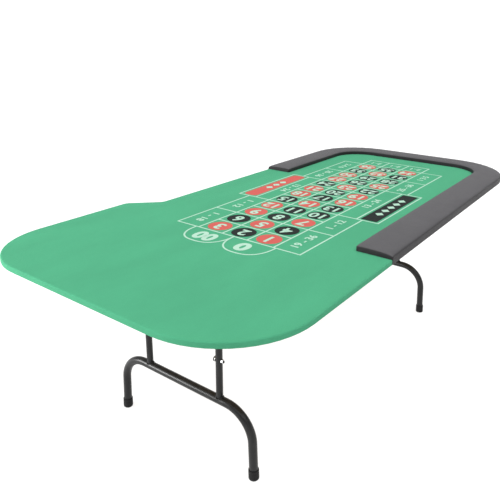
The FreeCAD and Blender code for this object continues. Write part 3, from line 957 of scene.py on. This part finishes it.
def even_line(line, pitch):
    """Points of a line at an even pitch."""
    picked = []
    travelled = 0.0
    wanted = pitch / 2
    for (before, normal), (after, next_normal) in zip(line, line[1:]):
        length = (after - before).length
        while travelled + length > wanted:
            share = (wanted - travelled) / length
            turned = normal.lerp(next_normal, share).normalized()
            picked.append((before.lerp(after, share), turned))
            wanted += pitch
        travelled += length
    return picked


def add_staple(shape, place, inwards, level):
    """A staple's crown along an edge, with its two legs turned up into the panel."""
    way = Vector((-inwards.y, inwards.x))
    side = -inwards
    wire = STAPLE_WIRE
    half = STAPLE_LENGTH / 2
    bent = half - STAPLE_WIRE
    left_leg = [(-half, STAPLE_LEG), (-half, STAPLE_BEND)]
    right_leg = [(half, STAPLE_BEND), (half, STAPLE_LEG)]
    rings = []
    for run, rise in left_leg + [(-bent, 0.0), (bent, 0.0)] + right_leg:
        upright = rise > STAPLE_BEND
        ring = []
        for across, up in ((-wire, -wire), (wire, -wire), (wire, wire), (-wire, wire)):
            slope = -up * math.copysign(1, run) if upright else 0.0
            where = place + way * (run + slope) + side * across
            ring.append((where.x, where.y, level + rise + (0.0 if upright else up)))
        rings.append(ring)
    add_loft(shape, rings)


def make_staples():
    """Staples that hold the cloth's and the vinyl's hems to the underside of the panel."""
    shape = bmesh.new()
    for point, normal in even_line(top_line(CLOTH_STAPLE_INSET), STAPLE_PITCH):
        under_vinyl = point.x > RAIL_FAR_START or (point.y < 0 and point.x > RAIL_NEAR_START)
        if not under_vinyl:
            add_staple(shape, point, normal, cloth_low.z - STAPLE_SUNK)
    inset = VINYL_STAPLE_INSET
    radius = RAIL_CORNER - inset
    low_y, high_y = cover_low.y + inset, cover_high.y - inset
    corners = [
        (RAIL_NEAR_START + VINYL_STAPLE_START, low_y, 0),
        (cover_high.x - inset, low_y, radius),
        (cover_high.x - inset, high_y, radius),
        (RAIL_FAR_START + VINYL_STAPLE_START, high_y, 0),
    ]
    for point, normal in even_line(run_round(corners, False, 0.02, 3), STAPLE_PITCH * 0.8):
        add_staple(shape, point, normal, cover_low.z - STAPLE_SUNK)
    add_piece("hem_staples", mesh_of("hem_staples", shape), TOP, zinc, 40)


# ---------------------------------------------------------------- studio

FLOOR_REACH = 60.0
DOME_STRENGTH = 1.15
DOME_STOPS = ((0.0, 1.0), (0.15, 1.0), (0.28, 0.42), (0.60, 0.42), (0.80, 1.0))


def light_sky(world):
    """A dome of light: white at the horizon, dim half way up and bright overhead."""
    tree = world.node_tree
    background = tree.nodes["Background"]
    place = tree.nodes.new("ShaderNodeTexCoord")
    split = tree.nodes.new("ShaderNodeSeparateXYZ")
    tree.links.new(place.outputs["Generated"], split.inputs["Vector"])
    dome = tree.nodes.new("ShaderNodeValToRGB")
    tree.links.new(split.outputs["Z"], dome.inputs["Fac"])
    while len(dome.color_ramp.elements) < len(DOME_STOPS):
        dome.color_ramp.elements.new(0.5)
    for element, (rise, grey) in zip(dome.color_ramp.elements, DOME_STOPS):
        element.position = rise
        element.color = (grey, grey, grey, 1)
    tree.links.new(dome.outputs["Color"], background.inputs["Color"])
    background.inputs["Strength"].default_value = DOME_STRENGTH


def make_floor():
    """A pale floor that also gives light of its own, as a light table does."""
    finish = new_material(
        "studio_floor",
        Base_Color=(0.25, 0.25, 0.25),
        Roughness=0.95,
        Specular_IOR_Level=0.0,
        Emission_Color=(1.0, 1.0, 1.0),
        Emission_Strength=0.85,
    )
    speckle = noise(finish, place_vector(finish), 3.0, 2.0, 0.5)
    finish_material(finish, heights=[(speckle, 0.0004)])
    shape = bmesh.new()
    corners = [(-1, -1), (1, -1), (1, 1), (-1, 1)]
    shape.faces.new([shape.verts.new((FLOOR_REACH * x, FLOOR_REACH * y, 0)) for x, y in corners])
    floor = add_piece("studio_floor", mesh_of("studio_floor", shape), None, finish)


def add_light(name, kind, energy):
    """A light in the scene, and its object."""
    lamp = bpy.data.lights.new(name, kind)
    lamp.energy = energy
    holder = bpy.data.objects.new(name, lamp)
    bpy.context.scene.collection.objects.link(holder)
    return lamp, holder


def make_studio():
    """The floor, the dome, a lamp that draws a streak along the tubes and a broad ceiling."""
    scene = bpy.context.scene
    scene.view_settings.view_transform = "Standard"
    make_floor()
    world = bpy.data.worlds.new("studio_world")
    scene.world = world
    world.use_nodes = True
    light_sky(world)
    lamp, holder = add_light("streak_box", "AREA", 90.0)
    lamp.size = 1.0
    holder.location = (-2.8, 2.1, 0.90)
    aim = Vector((0, 0, 0.7)) - holder.location
    holder.rotation_euler = aim.to_track_quat("-Z", "Y").to_euler()
    lamp, holder = add_light("ceiling_light", "SUN", 2.5)
    lamp.angle = math.radians(80)
    holder.rotation_euler = (math.radians(8), math.radians(-8), 0)


def make_camera():
    """The camera, standing off the near wheel end and looking along the table."""
    lens = bpy.data.cameras.new("camera")
    lens.lens = 39.87
    lens.sensor_width = 36.0
    lens.shift_x = -0.0420
    lens.shift_y = -0.1073
    camera = bpy.data.objects.new("camera", lens)
    camera.location = (-2.0587, -1.2894, 1.4860)
    tilt, roll, heading = (math.radians(angle) for angle in (73.600, -0.601, -53.960))
    camera.rotation_euler = Euler((tilt, roll, heading))
    bpy.context.scene.collection.objects.link(camera)
    bpy.context.scene.camera = camera


make_camera()
make_studio()
finish_nodes()
make_cloth()
make_rail()
make_lines()
make_spots()
make_numerals()
make_welds()
make_foot_caps()
make_staples()
